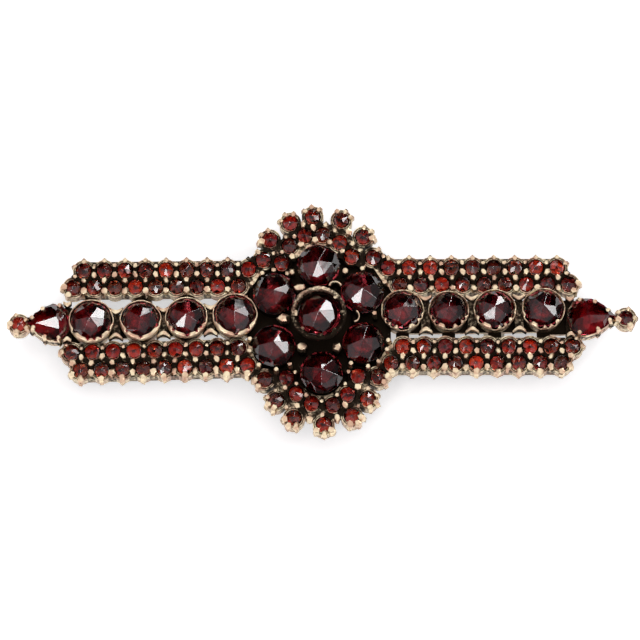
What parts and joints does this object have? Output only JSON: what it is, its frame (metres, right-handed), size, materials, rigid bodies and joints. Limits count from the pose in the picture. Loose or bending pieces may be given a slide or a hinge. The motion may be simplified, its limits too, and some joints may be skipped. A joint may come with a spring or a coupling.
{
  "type": "garnet brooch",
  "caption": "Long openwork bar brooch with rose-cut round and pear-shaped garnets, rows of small garnets in claw-set cups, and a raised rosette in the middle.",
  "frame": {"origin": "middle of the brooch's outline, on the surface that its hinge and catch lie on", "axes": "+X along the bar, +Y across it towards the upper rows, +Z out of the face, away from the pin"},
  "size_m": [0.0678, 0.0262, 0.0081],
  "materials": {
    "gilt_tombac": "old gilt tombac with worn bright claw tips and rims, and dark brown and olive patina in the recesses",
    "garnet": "polished, deep red, rose-cut",
    "pin_metal": "plain dull grey-brown metal of the hinge, pin stem and catch"
  },
  "bodies": {
    "root": {"bar_mount": "gilt_tombac", "rosette_mount": "gilt_tombac", "centre_collet": "gilt_tombac", "pin": "pin_metal", "centre_garnet": "garnet", "rosette_garnet_1": "garnet", "rosette_garnet_2": "garnet", "rosette_garnet_3": "garnet", "rosette_garnet_4": "garnet", "rosette_garnet_5": "garnet", "rosette_garnet_6": "garnet", "left_garnet_1": "garnet", "left_garnet_2": "garnet", "left_garnet_3": "garnet", "left_garnet_4": "garnet", "right_garnet_1": "garnet", "right_garnet_2": "garnet", "right_garnet_3": "garnet", "right_garnet_4": "garnet", "left_pear_garnet": "garnet", "right_pear_garnet": "garnet", "left_tip_garnet": "garnet", "right_tip_garnet": "garnet", "upper_left_garnets": "garnet", "lower_left_garnets": "garnet", "upper_right_garnets": "garnet", "lower_right_garnets": "garnet", "upper_lobe_garnets": "garnet", "lower_lobe_garnets": "garnet"}
  },
  "joints": []
}
